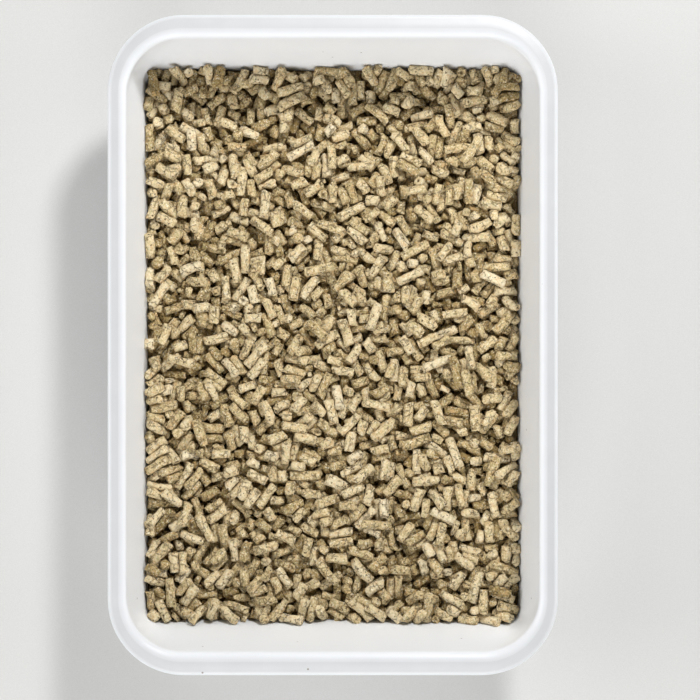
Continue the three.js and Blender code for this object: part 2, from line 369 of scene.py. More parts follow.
        # Painted shade: how far each point is darkened towards the plastic's grey, 0.3 and 0 at the middles
        # of the underside and the floor.
        point_values(tray, "painted_shade", np.append(np.repeat(wear, loops.shape[1]), [0.3, 0.0]))
        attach(tray, "root")
        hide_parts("tray")
        return tray


# Litter


@dataclass
class Rods(Rows):
    """Straight pellets as arrays, one row for each."""

    middle: np.ndarray
    axis: np.ndarray
    length: np.ndarray
    radius: np.ndarray

    def __len__(self) -> int:
        """How many there are."""
        return len(self.length)


class FrameLitter:
    """Reads where the frame's own pellets lie."""

    least_level: float = 0.98
    least_rise: float = 0.2 * MM

    def __init__(self, bed: str = "litter_bed") -> None:
        """Names the node that carries the half-sunk pellets."""
        self.bed = bed
        self.names = sorted(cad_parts)

    @staticmethod
    def triangles(node: str) -> tuple[np.ndarray, np.ndarray]:
        """A node's points with doubles merged, and its triangles.

        Args:
            node: the node's name.

        Returns:
            Points as (n, 3) and triangles as (m, 3) indices into them.
        """
        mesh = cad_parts[node].data
        mesh.calc_loop_triangles()
        corners = np.zeros(len(mesh.loop_triangles) * 3, np.int32)
        mesh.loop_triangles.foreach_get("vertices", corners)
        flat = np.zeros(len(mesh.vertices) * 3, np.float32)
        mesh.vertices.foreach_get("co", flat)
        rounded = np.round(flat.reshape(-1, 3).astype(float), 6)
        points, merged = np.unique(rounded, axis=0, return_inverse=True)
        return points, merged.reshape(-1)[corners].reshape(-1, 3)

    def separate(self, prefix: str) -> Rods:
        """The pellets that are nodes of their own.

        Each one's axis is the direction in which its points spread most.

        Args:
            prefix: how the nodes' names start.

        Returns:
            One rod for each node.
        """
        rows = []
        for name in (name for name in self.names if name.startswith(prefix)):
            points, _ = self.triangles(name)
            middle = (points.max(0) + points.min(0)) / 2
            axis = np.linalg.eigh(np.cov((points - middle).T))[1][:, -1]
            along = (points - middle) @ axis
            across = np.linalg.norm((points - middle) - along[:, None] * axis, axis=1)
            rows.append((middle, axis, np.ptp(along), across.max()))
        return Rods(*(np.array(column) for column in zip(*rows)))

    def half_sunk(self, radius: float) -> Rods:
        """The pellets that are part of the bed, from the flat strips on top of them.

        Faces that look up and lie over the bulk belong to strips. Each strip takes the lowest label of the
        points that its faces share, until no label changes. Its axis is the direction in which its points
        spread most, and the pellet's middle lies a radius under the middle of the strip.

        Args:
            radius: the pellets' radius.

        Returns:
            One rod for each strip.
        """
        points, faces = self.triangles(self.bed)
        corners = points[faces]
        normal = np.cross(corners[:, 1] - corners[:, 0], corners[:, 2] - corners[:, 0])
        size = np.linalg.norm(normal, axis=1)
        level = (normal[:, 2] > self.least_level * size) & (size > 0)
        bulk = corners[level][:, :, 2].min()
        faces = faces[level & (corners[:, :, 2].min(1) > bulk + self.least_rise)]
        labels = np.arange(len(points))
        while True:
            before = labels.copy()
            np.minimum.at(labels, faces, labels[faces].min(1)[:, None])
            if (labels == before).all():
                break
        used = np.unique(faces)
        _, strip = np.unique(labels[used], return_inverse=True)
        strip = strip.reshape(-1)
        held = points[used]
        count = np.bincount(strip)
        mean = np.stack([np.bincount(strip, held[:, k]) for k in range(3)], 1) / count[:, None]
        off = held - mean[strip]
        spread = np.zeros((len(count), 3, 3))
        np.add.at(spread, strip, off[:, :, None] * off[:, None, :])
        axis = np.linalg.eigh(spread)[1][:, :, -1]
        along = (off * axis[strip]).sum(1)
        low, high = np.full(len(count), np.inf), np.full(len(count), -np.inf)
        np.minimum.at(low, strip, along)
        np.maximum.at(high, strip, along)
        middle = mean + axis * ((low + high) / 2)[:, None] - radius * UP
        return Rods(middle, axis, high - low, np.full(len(count), radius))


def gathered(index: np.ndarray, vectors: np.ndarray, count: int) -> np.ndarray:
    """Adds up vectors by the row that each belongs to, as (count, 3)."""
    return np.stack([np.bincount(index, vectors[:, k], count) for k in range(3)], 1)


@dataclass
class Settling:
    """Lets rods down between fixed ones until they lie on one another.

    Each rod is a line with a radius. In every step the free rods sink a little, and then each pair that
    overlaps is pushed apart along the shortest way between its two lines, both by moving and by turning, in
    the shares that two free bodies of that shape would take. The floor and the walls push the ends in the
    same way.
    """

    tray: Tray
    floor: float
    steps: int = 420
    fall: float = 0.3 * MM
    least_fall: float = 0.02 * MM
    growth_steps: int = 80
    first_size: float = 0.55
    ease: float = 0.55
    refresh: int = 8
    block: int = 256
    reach: float = 3 * MM
    end_inset: float = 0.6
    crowding: float = 0.35

    def pairs(self, rods: Rods, free: int) -> tuple[np.ndarray, np.ndarray]:
        """The pairs that are near enough to meet soon, with at least one free rod in each.

        Args:
            rods: all the rods, the free ones first.
            free: how many are free.

        Returns:
            The indices of the first and of the second rod of each pair.
        """
        firsts, seconds = [], []
        far = rods.length / 2 + rods.radius + self.reach / 2
        order = np.arange(len(rods))
        for start in range(0, free, self.block):
            block = order[start : min(start + self.block, free)]
            gap = rods.middle[block][:, None, :] - rods.middle[None, :, :]
            near = (gap**2).sum(2) < (far[block][:, None] + far[None, :]) ** 2
            near &= order[None, :] > block[:, None]
            one, two = np.nonzero(near)
            firsts.append(block[one])
            seconds.append(two)
        return np.concatenate(firsts), np.concatenate(seconds)

    @staticmethod
    def shortest(rods: Rods, half: np.ndarray, one: np.ndarray, two: np.ndarray) -> tuple[np.ndarray, ...]:
        """The shortest way between the lines of each pair.

        The place along each line comes from the two lines' common perpendicular, is held between the line's
        ends, and is then worked out once more from the other's.

        Args:
            rods: all the rods.
            half: half of each line's length.
            one: the first rod of each pair.
            two: the second rod of each pair.

        Returns:
            The places along the first and the second line, and the vector from the first point to the second.
        """
        u, v = rods.axis[one], rods.axis[two]
        apart = rods.middle[two] - rods.middle[one]
        b = (u * v).sum(1)
        d, e = (u * apart).sum(1), (v * apart).sum(1)
        s = np.clip((d - b * e) / np.maximum(1 - b * b, 1e-3), -half[one], half[one])
        t = np.clip(b * s - e, -half[two], half[two])
        s = np.clip(b * t + d, -half[one], half[one])
        return s, t, apart + t[:, None] * v - s[:, None] * u

    def settle(self, free: Rods, fixed: Rods) -> Rods:
        """Lets the free rods down.

        Args:
            free: the rods that move.
            fixed: the rods that stay.

        Returns:
            The free rods where they came to lie.
        """
        rods = Rods.joined([free, fixed])
        count, moving = len(rods), len(free)
        half = np.maximum(rods.length / 2 - self.end_inset * rods.radius, 0.0)
        moves = (np.arange(count) < moving).astype(float)
        turns = moves / (rods.length**2 / 12 + rods.radius**2 / 4)
        for step in range(self.steps):
            done = step / self.steps
            if step % self.refresh == 0:
                one, two = self.pairs(rods, moving)
            size = min(1.0, self.first_size + (1 - self.first_size) * step / self.growth_steps)
            rods.middle[:moving, 2] -= self.fall * (1 - done) ** 1.5 + self.least_fall * done
            s, t, way = self.shortest(rods, half, one, two)
            distance = np.linalg.norm(way, axis=1) + 1e-9
            wanted = (rods.radius[one] + rods.radius[two]) * size
            meets = distance < wanted
            a, b = one[meets], two[meets]
            sides = way[meets] / distance[meets][:, None]
            places = [(a, s[meets], -sides), (b, t[meets], sides)]
            depth = wanted[meets] - distance[meets]
            weight = np.zeros(len(a))
            crosses = []
            for rod, place, side in places:
                cross = side - (side * rods.axis[rod]).sum(1)[:, None] * rods.axis[rod]
                crosses.append(cross)
                weight += moves[rod] + place**2 * (cross**2).sum(1) * turns[rod]
            push = depth / np.maximum(weight, 1e-9)
            shift, swing = np.zeros((count, 3)), np.zeros((count, 3))
            touches = np.zeros(count)
            for (rod, place, side), cross in zip(places, crosses):
                shift += gathered(rod, side * (push * moves[rod])[:, None], count)
                swing += gathered(rod, cross * (push * place * turns[rod])[:, None], count)
                touches += np.bincount(rod, minlength=count)
            share = (self.ease / np.maximum(touches * self.crowding, 1.0))[:, None]
            rods.middle += shift * share
            rods.axis += swing * share
            self.hold_in(rods, half, moves, turns, size)
            rods.axis /= np.linalg.norm(rods.axis, axis=1)[:, None]
        return rods.some(np.arange(count) < moving)

    def hold_in(
        self, rods: Rods, half: np.ndarray, moves: np.ndarray, turns: np.ndarray, size: float
    ) -> None:
        """Pushes the ends of the rods back over the floor and inside the walls.

        The distance to the wall is that of a rounded rectangle: past the corner's centre both ways it is
        measured from that centre, and elsewhere straight to the nearer wall.

        Args:
            rods: all the rods, which are changed.
            half: half of each line's length.
            moves: 1 for a free rod and 0 for a fixed one.
            turns: how easily each rod turns.
            size: the share of its radius that each rod has grown to.
        """
        for sign in (-1.0, 1.0):
            arm = sign * half
            end = rods.middle + arm[:, None] * rods.axis
            radius = rods.radius * size
            lift = np.maximum(self.floor + radius - end[:, 2], 0.0)
            wall = self.tray.inner_wall(end[:, 2])
            box = np.stack([wall.half_x - wall.radius, wall.half_y - wall.radius], 1)
            past = np.abs(end[:, :2]) - box
            outer = np.maximum(past, 0.0)
            length = np.linalg.norm(outer, axis=1)
            nearer = np.eye(2)[np.argmax(past, axis=1)]
            slope = np.where((length > 0)[:, None], outer / np.maximum(length, 1e-9)[:, None], nearer)
            depth = np.maximum(length + np.minimum(past.max(1), 0.0) - wall.radius + radius, 0.0)
            inwards = -slope * np.sign(end[:, :2]) * depth[:, None]
            push = np.concatenate([inwards, lift[:, None]], 1) * moves[:, None]
            cross = push - (push * rods.axis).sum(1)[:, None] * rods.axis
            ratio = (arm**2 * turns / (1.0 + arm**2 * turns))[:, None]
            rods.middle += push * (1 - ratio) + push * ratio * 0.5
            rods.axis += cross * (arm * turns)[:, None] * 0.5


@dataclass
class Pellets:
    """Turns rods into pressed pellets: edges rounded by wear, broken ends and a slight swelling or bend."""

    sides: int = 8
    loops: int = 6
    seed: int = 61
    crisp_edge: float = 0.93
    worn_edge: float = 0.66
    least_wear: float = 0.25 * MM
    most_wear: float = 1.3 * MM
    slant: float = 0.5
    least_tilt: float = -0.2 * MM
    jag: float = 1.0 * MM
    swell: float = 0.065
    dent: float = 0.1
    most_bend: float = 1.3 * MM
    # Painted shade: the tone is lowered below the surface height by the sunk shade, and above the height
    # where pellets stand out by the raised shade, each over the fade.
    surface: float = 42 * MM
    fade: float = 7 * MM
    sunk_shade: float = 0.4
    stands_out: float = 46 * MM
    raised_shade: float = 0.35
    hollow_share: float = 0.1
    hollow_depth: float = 0.9 * MM

    def build(self, name: str, rods: Rods) -> bpy.types.Object:
        """Makes one piece that holds a pellet for each rod.

        A pellet is six loops along its rod, each end's rim and shoulder and two round its body, and a point
        in the middle of each end. A point lies on the rod's line, plus the radius times a unit vector across
        it, plus the bend, which is greatest half way along. The rims are drawn in by wear, tilted as a break
        is, and jagged.

        Args:
            name: the piece's name.
            rods: where the pellets lie.

        Returns:
            The piece, with a tone at each point that holds painted shade, a mark of hollowed ends and the
            pellet's own coordinates.
        """
        rng = np.random.default_rng(self.seed + len(rods))
        count = len(rods)
        half = rods.length / 2
        first, second = self.across(rods.axis)
        turn = np.arange(self.sides) * (2 * math.pi / self.sides) + rng.uniform(0, math.pi, count)[:, None]
        wear = rng.uniform(self.least_wear, self.most_wear, (count, 2))
        wear = np.minimum(wear, 0.4 * half[:, None])
        loose_bits = np.minimum(1.0, half / (5 * MM))[:, None, None]
        edge = rng.uniform(self.worn_edge, self.crisp_edge, (count, 2))
        slant = rng.normal(0, self.slant, (count, 2)).clip(-2 * self.slant, 2 * self.slant)
        slant *= np.minimum(1.0, half / (4 * MM))[:, None]
        heading = rng.uniform(0, 2 * math.pi, (count, 2))
        tilt = slant[:, :, None] * np.cos(turn[:, None, :] - heading[:, :, None]) * rods.radius[:, None, None]
        tilt = np.maximum(tilt, self.least_tilt)
        jag = rng.uniform(0, self.jag, (count, 2, self.sides)) * loose_bits
        along = np.empty((count, self.loops, self.sides))
        along[:, 0] = -half[:, None] + jag[:, 0] + tilt[:, 0]
        along[:, 1] = (-half + wear[:, 0])[:, None] + 0.8 * tilt[:, 0]
        along[:, 2] = (-half / 3)[:, None]
        along[:, 3] = (half / 3)[:, None]
        along[:, 4] = (half - wear[:, 1])[:, None] - 0.8 * tilt[:, 1]
        along[:, 5] = half[:, None] - jag[:, 1] - tilt[:, 1]
        along.sort(axis=1)
        size = 1 + rng.normal(0, self.swell, (count, self.loops, 1)) + rng.normal(0, self.dent, along.shape)
        size[:, 0] *= edge[:, :1]
        size[:, 5] *= edge[:, 1:]
        reach = size * rods.radius[:, None, None]
        bend = rng.uniform(-1, 1, count) ** 3 * self.most_bend * np.minimum(1.0, half / (7 * MM))
        bow = bend[:, None, None] * (1 - (along / half[:, None, None]) ** 2)
        one = reach * np.cos(turn)[:, None, :] + bow
        two = reach * np.sin(turn)[:, None, :]
        sunk = np.where(rng.random((count, 2)) < self.hollow_share, self.hollow_depth, 0.0)
        sunk = np.minimum(sunk, 0.3 * half[:, None]) + rng.uniform(-0.25, 0.2, (count, 2)) * MM
        local = np.zeros((count, self.loops * self.sides + 2, 3))
        local[:, :-2] = np.stack([along, one, two], 3).reshape(count, -1, 3)
        local[:, -2, 0] = along[:, 0].mean(1) + sunk[:, 0]
        local[:, -1, 0] = along[:, 5].mean(1) - sunk[:, 1]
        frames = np.stack([rods.axis, first, second], 1)
        vertices = rods.middle[:, None, :] + local @ frames
        piece = mesh_object(name, vertices.reshape(-1, 3), *self.faces(count))
        each = local.shape[1]
        # Painted shade in the tone: sunk pellets are darkened the deeper they lie, and pellets that stand out
        # are darkened against the light they catch, over a random tone for each pellet.
        depth = ((self.surface - rods.middle[:, 2]) / self.fade).clip(0, 1)
        height = ((rods.middle[:, 2] - self.stands_out) / self.fade).clip(0, 1)
        tone = rng.normal(0.55, 0.15, count) - self.sunk_shade * depth - self.raised_shade * height
        tone = np.repeat(tone.clip(0, 1), each)
        # Marks the middles of hollowed ends, where the material paints shade.
        hollow_shade = np.zeros((count, each))
        hollow_shade[:, -2:] = sunk > 0.4 * MM
        point_values(piece, "tone", tone)
        point_values(piece, "hollow_shade", hollow_shade.ravel())
        shifted = local + rng.uniform(0, 0.4, (count, 1, 3))
        grain = piece.data.attributes.new("grain", "FLOAT_VECTOR", "POINT")
        grain.data.foreach_set("vector", shifted.astype(np.float32).ravel())
        return piece

    @staticmethod
    def across(axis: np.ndarray) -> tuple[np.ndarray, np.ndarray]:
        """Two unit vectors across each axis and each other.

        Args:
            axis: (n, 3) unit vectors.

        Returns:
            The two sets of vectors.
        """
        steep = np.abs(axis[:, 2:]) > 0.9
        helper = np.where(steep, np.array([[1.0, 0.0, 0.0]]), UP[None, :])
        first = np.cross(helper, axis)
        first /= np.linalg.norm(first, axis=1)[:, None]
        return first, np.cross(axis, first)

    def faces(self, count: int) -> tuple[np.ndarray, np.ndarray]:
        """The faces of all the pellets.

        Args:
            count: how many pellets there are.

        Returns:
            The four-cornered faces round the bodies and the triangles of the ends.
        """
        body, ends = faces_around(self.loops, self.sides)
        shift = np.arange(count)[:, None, None] * (self.loops * self.sides + 2)
        return (body + shift).reshape(-1, 4), (ends + shift).reshape(-1, 3)


@dataclass(frozen=True)
class Layer:
    """Pellets strewn at random: how many, between which heights, and how much they lean, in radians.

    The seed is that of their random numbers, and they lie no further in from the walls than the band.
    """

    count: int
    low: float
    high: float
    lean: float
    seed: int
    band: float = 1.0


@dataclass
class Litter:
    """The pressed litter: a crumbly core, pellets settled over it, and the pellets that the frame holds."""

    tray: Tray
    under: Layer = Layer(1250, 33 * MM, 37 * MM, 0.15, 3)
    upper: Layer = Layer(820, 47 * MM, 62 * MM, 0.3, 4)
    crumbs: Layer = Layer(350, 47 * MM, 66 * MM, 0.5, 5)
    border: Layer = Layer(190, 44 * MM, 58 * MM, 0.3, 7, 14 * MM)
    tries: int = 40
    margin: float = 1.2
    pellet_radius: float = 3.1 * MM
    thinnest: float = 2.7 * MM
    thickest: float = 3.8 * MM
    thickness: float = 1.05
    thickness_spread: float = 0.06
    mean_length: float = 14.3 * MM
    length_spread: float = 3.9 * MM
    shortest: float = 7 * MM
    longest: float = 23 * MM
    broken_share: float = 0.13
    broken_millimetres: tuple = (3, 6.5)
    crumb_share: float = 0.14
    crumb_least: float = 1.2 * MM
    crumb_girth: tuple = (0.25, 0.55)
    crumb_seed: int = 6
    core_top: float = 30.5 * MM
    core_bumps: float = 1.1 * MM
    core_bank: float = 5.5 * MM
    core_gap: float = 0.3 * MM
    core_rings: int = 60
    core_bank_rings: int = 3
    core_waves: int = 8
    core_wave_numbers: tuple = (250, 900)
    # A low tone for the core, as painted shade where it shows between the pellets.
    core_shade_tone: float = 0.15
    core_seed: int = 17
    bedding: float = 1 * MM
    quick_steps: int = 60
    fields: int = 4

    def strewn(self, layer: Layer) -> Rods:
        """The rods of a layer: places and headings even, leans normal, and some of them broken short.

        Args:
            layer: the layer.

        Returns:
            The rods.
        """
        rng = np.random.default_rng(layer.seed)
        count = layer.count
        z = rng.uniform(layer.low, layer.high, count)
        wall = self.tray.inner_wall(z)
        margin = self.margin * self.pellet_radius
        room = np.stack([wall.half_x - margin, wall.half_y - margin], 1)
        tries = rng.uniform(-1, 1, (self.tries, count, 2)) * room
        depth = np.minimum(wall.half_x - np.abs(tries[:, :, 0]), wall.half_y - np.abs(tries[:, :, 1]))
        x, y = tries[np.argmax(depth < layer.band, axis=0), np.arange(count)].T
        heading = rng.uniform(0, math.pi, count)
        rise = rng.normal(0, layer.lean, count)
        axis = np.stack([np.cos(heading) * np.cos(rise), np.sin(heading) * np.cos(rise), np.sin(rise)], 1)
        length = rng.normal(self.mean_length, self.length_spread, count).clip(self.shortest, self.longest)
        broken = rng.random(count) < self.broken_share
        length = np.where(broken, rng.uniform(*self.broken_millimetres, count) * MM, length)
        radius = self.pellet_radius * rng.normal(self.thickness, self.thickness_spread, count)
        return Rods(np.stack([x, y, z], 1), axis, length, radius.clip(self.thinnest, self.thickest))

    def core(self) -> bpy.types.Object:
        """Makes the mass under the showing pellets.

        Its outline follows the inside of the tray up to its top, which is made of ever smaller copies of the
        last outline and is banked up along the walls. The top's height is its level plus the mean of some
        waves of random heading, length and phase.

        Returns:
            The piece.
        """
        rng = np.random.default_rng(self.core_seed)
        across, up = quarter(6)
        fillet, wall = self.tray.floor_fillet, self.tray.wall
        low = wall + fillet
        bend = self.tray.inner_wall(low).grown((across - 1) * fillet, low - fillet * up)
        sides = self.tray.inner_wall(np.linspace(low, self.core_top + self.core_bank, 6)[1:])
        outline = Outlines.joined([bend.backwards(), sides]).grown(-self.core_gap)
        outline.z[: len(up)] += self.core_gap
        loops = outline.points(8, 24)
        shrink = np.linspace(1, 0, self.core_rings)[1:-1, None, None]
        plan_only, height_only = np.array([1, 1, 0]), np.array([0, 0, 1])
        loops = np.concatenate([loops, loops[-1:] * (shrink * plan_only + height_only)])
        bank = np.clip(1 - np.arange(len(shrink)) / self.core_bank_rings, 0, 1)[:, None] * self.core_bank
        loops[len(outline.z) :, :, 2] = self.core_top + bank
        top = slice(len(outline.z) - 1, None)
        heading, phase = rng.uniform(0, 2 * math.pi, (2, self.core_waves))
        number = rng.uniform(*self.core_wave_numbers, self.core_waves)
        plan = loops[top, :, :2] @ (np.stack([np.cos(heading), np.sin(heading)]) * number)
        loops[top, :, 2] += np.sin(plan + phase).mean(2) * 2 * self.core_bumps
        core = mesh_object("litter_core", *skin(loops))
        # Painted shade: the core's tone is set low so that it shows dark between the pellets.
        point_values(core, "tone", np.full(len(core.data.vertices), self.core_shade_tone))
        return core

    def build(self) -> list[bpy.types.Object]:
        """Makes all the litter and puts it in place of the frame's plain solids.

        Returns:
            The pieces.
        """
        held = FrameLitter()
        cover = held.half_sunk(self.pellet_radius)
        loose = held.separate("loose_pellet_")
        propped = held.separate("propped_pellet_")
        steps = Settling.steps
        settling = Settling(self.tray, self.core_top - self.bedding, steps=steps)
        crumbs = self.strewn(self.crumbs)
        crumbs.length = crumbs.length * self.crumb_share + self.crumb_least
        girth = np.random.default_rng(self.crumb_seed).uniform(*self.crumb_girth, self.crumbs.count)
        crumbs.radius = crumbs.radius * girth
        falling = Rods.joined([*map(self.strewn, (self.under, self.upper, self.border)), crumbs])
        settled = settling.settle(falling, Rods.joined([cover, loose, propped]))
        bed = Rods.joined([settled, cover])
        pieces = [self.core()]
        shape = Pellets()
        shares = np.linspace(0, 1, self.fields + 1)[1:-1]
        field_of = np.digitize(bed.middle[:, 1], np.quantile(bed.middle[:, 1], shares))
        for number in range(self.fields):
            pieces.append(shape.build(f"settled_pellets_{number + 1}", bed.some(field_of == number)))
        for piece in pieces:
            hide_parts(held.bed)
        singles = {"loose_pellet": loose, "propped_pellet": propped}
        for prefix, rods in singles.items():
            piece = shape.build(prefix + "s", rods)
            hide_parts(*(name for name in held.names if name.startswith(prefix)))
            pieces.append(piece)
        for piece in pieces:
            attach(piece, "root")
        return pieces


# Finishes


Socket = bpy.types.NodeSocket


class Graph:
    """Adds nodes to a tree and joins them."""

    def __init__(self, tree: bpy.types.NodeTree) -> None:
        """Takes the tree to work on."""
        self.tree = tree

    def add(self, kind: str, inputs: dict | None = None, **settings: object) -> bpy.types.Node:
        """Adds a node.

        Args:
            kind: the node's type.
            inputs: a value or another node's output for each input, by its name or number.
            settings: the node's own properties.

        Returns:
            The node.
        """
        node = self.tree.nodes.new(kind)
        for name, value in settings.items():
            setattr(node, name, value)
        for name, value in (inputs or {}).items():
            if isinstance(value, Socket):
                self.tree.links.new(value, node.inputs[name])
            else:
                node.inputs[name].default_value = value
        return node

    def math(self, operation: str, first: object, second: object) -> Socket:
        """One sum on two values, each a number or an output."""
        return self.add("ShaderNodeMath", {0: first, 1: second}, operation=operation).outputs[0]

    def noise(self, vector: Socket, scale: float, detail: float = 2.0, roughness: float = 0.5) -> Socket:
        """Noise from 0 to 1 at a point."""
        inputs = {"Vector": vector, "Scale": scale, "Detail": detail, "Roughness": roughness}
        return self.add("ShaderNodeTexNoise", inputs).outputs["Fac"]

    def remap(
        self, value: Socket, low: float, high: float, to_low: float = 0.0, to_high: float = 1.0
    ) -> Socket:
        """Stretches a range of values onto another one and holds the result inside it."""
        inputs = {"Value": value, "From Min": low, "From Max": high, "To Min": to_low, "To Max": to_high}
        return self.add("ShaderNodeMapRange", inputs).outputs["Result"]

    def layered(self, base: object, layers: list[tuple]) -> Socket:
        """Lays colours over a base, one after another.

        Args:
            base: the colour below.
            layers: each layer's share and colour, from the lowest.

        Returns:
            The colour that comes of it.
        """
        for share, cover in layers:
            base = self.add("ShaderNodeMix", {0: share, 6: base, 7: cover}, data_type="RGBA").outputs[2]
        return base

    def bump(self, height: Socket, strength: float, distance: float) -> Socket:
        """The normal of a surface with a height."""
        inputs = {"Height": height, "Strength": strength, "Distance": distance}
        return self.add("ShaderNodeBump", inputs).outputs["Normal"]


def colour(red: float, green: float, blue: float) -> tuple[float, float, float, float]:
    """A colour given as it shows on a screen, from 0 to 255, as the linear values that nodes take.

    Each value is divided by 255 and raised by the screen's own curve.

    Args:
        red: red.
        green: green.
        blue: blue.

    Returns:
        Red, green and blue from 0 to 1, and a 1.
    """
    values = [v / 255 for v in (red, green, blue)]
    linear = [v / 12.92 if v <= 0.04045 else ((v + 0.055) / 1.055) ** 2.4 for v in values]
    return (*linear, 1.0)


@dataclass(frozen=True)
class Mottling:
    """The shared mottling, at a scale given from outside: unevenness of three sizes, pits, cracks and flecks.

    Pits are the middles of some random cells, of a size that differs from cell to cell. Cracks are the
    borders of larger cells, where a noise is high, and flecks are the peaks of a noise.
    """

    name: str = "mottling"
    broad: float = 0.35
    middle: float = 0.95
    fine: float = 2.6
    pit_cells: float = 0.8
    pit_chance: tuple = (0.7, 0.73)
    pit_sizes: tuple = (0.14, 0.5)
    crack_cells: float = 0.34
    crack_width: tuple = (0.03, 0.085)
    crack_places: tuple = (0.46, 0.56)
    flecks: float = 1.1
    fleck_peaks: tuple = (0.6, 0.68)
    wander: float = 1.6

    def group(self) -> bpy.types.NodeTree:
        """Makes the node group, with a named socket for each of its values."""
        tree = bpy.data.node_groups.new(self.name, "ShaderNodeTree")
        tree.interface.new_socket("Vector", in_out="INPUT", socket_type="NodeSocketVector")
        tree.interface.new_socket("Scale", in_out="INPUT", socket_type="NodeSocketFloat")
        for name in ("Broad", "Middle", "Fine", "Pits", "Cracks", "Flecks"):
            tree.interface.new_socket(name, in_out="OUTPUT", socket_type="NodeSocketFloat")
        graph = Graph(tree)
        given = graph.add("NodeGroupInput").outputs
        scaled = {0: given["Vector"], "Scale": given["Scale"]}
        vector = graph.add("ShaderNodeVectorMath", scaled, operation="SCALE").outputs[0]
        warp = graph.add("ShaderNodeTexNoise", {"Vector": vector, "Scale": self.wander, "Detail": 1.0})
        warped = {0: warp.outputs["Color"], 1: vector}
        moved = graph.add("ShaderNodeVectorMath", warped, operation="ADD").outputs[0]
        cells = graph.add("ShaderNodeTexVoronoi", {"Vector": moved, "Scale": self.pit_cells})
        drawn = graph.add("ShaderNodeSeparateColor", {0: cells.outputs["Color"]})
        chosen = graph.remap(drawn.outputs["Red"], *self.pit_chance)
        size = graph.remap(drawn.outputs["Green"], 0.0, 1.0, *self.pit_sizes)
        inside = graph.remap(graph.math("DIVIDE", cells.outputs["Distance"], size), 0.5, 1.0, 1.0, 0.0)
        borders = {"Vector": moved, "Scale": self.crack_cells}
        borders = graph.add("ShaderNodeTexVoronoi", borders, feature="DISTANCE_TO_EDGE")
        thin = graph.remap(borders.outputs["Distance"], *self.crack_width, 1.0, 0.0)
        shown = graph.remap(graph.noise(vector, 0.3, 1.0), *self.crack_places)
        values = {
            "Broad": graph.noise(vector, self.broad, 2.0),
            "Middle": graph.noise(vector, self.middle, 1.0),
            "Fine": graph.noise(vector, self.fine, 3.0, 0.6),
            "Pits": graph.math("MULTIPLY", chosen, inside),
            "Cracks": graph.math("MULTIPLY", thin, shown),
            "Flecks": graph.remap(graph.noise(vector, self.flecks, 1.0), *self.fleck_peaks),
        }
        graph.add("NodeGroupOutput", values)
        return tree


@dataclass(frozen=True)
class Finish:
    """A material with the shared mottling at a scale of its own."""

    name: str
    scale: float

    def begun(self, mottling: bpy.types.NodeTree, attribute: str = "") -> tuple:
        """Starts the material.

        Args:
            mottling: the shared mottling.
            attribute: the point attribute that its patterns read, or nothing for the piece's own coordinates.

        Returns:
            The material, its graph, the place that its patterns read, and the mottling's outputs.
        """
        made = bpy.data.materials.new(self.name)
        made.use_nodes = True
        made.node_tree.nodes.clear()
        graph = Graph(made.node_tree)
        if attribute:
            place = graph.add("ShaderNodeAttribute", attribute_name=attribute).outputs["Vector"]
        else:
            place = graph.add("ShaderNodeTexCoord").outputs["Object"]
        inputs = {"Vector": place, "Scale": self.scale}
        return made, graph, place, graph.add("ShaderNodeGroup", inputs, node_tree=mottling).outputs

    @staticmethod
    def value(graph: Graph, attribute: str) -> Socket:
        """A number that the piece holds at each point."""
        return graph.add("ShaderNodeAttribute", attribute_name=attribute).outputs["Fac"]

    @staticmethod
    def shaded(graph: Graph, inputs: dict) -> None:
        """Adds the shader with its inputs and gives it to the material."""
        shader = graph.add("ShaderNodeBsdfPrincipled", inputs)
        graph.add("ShaderNodeOutputMaterial", {"Surface": shader.outputs["BSDF"]})


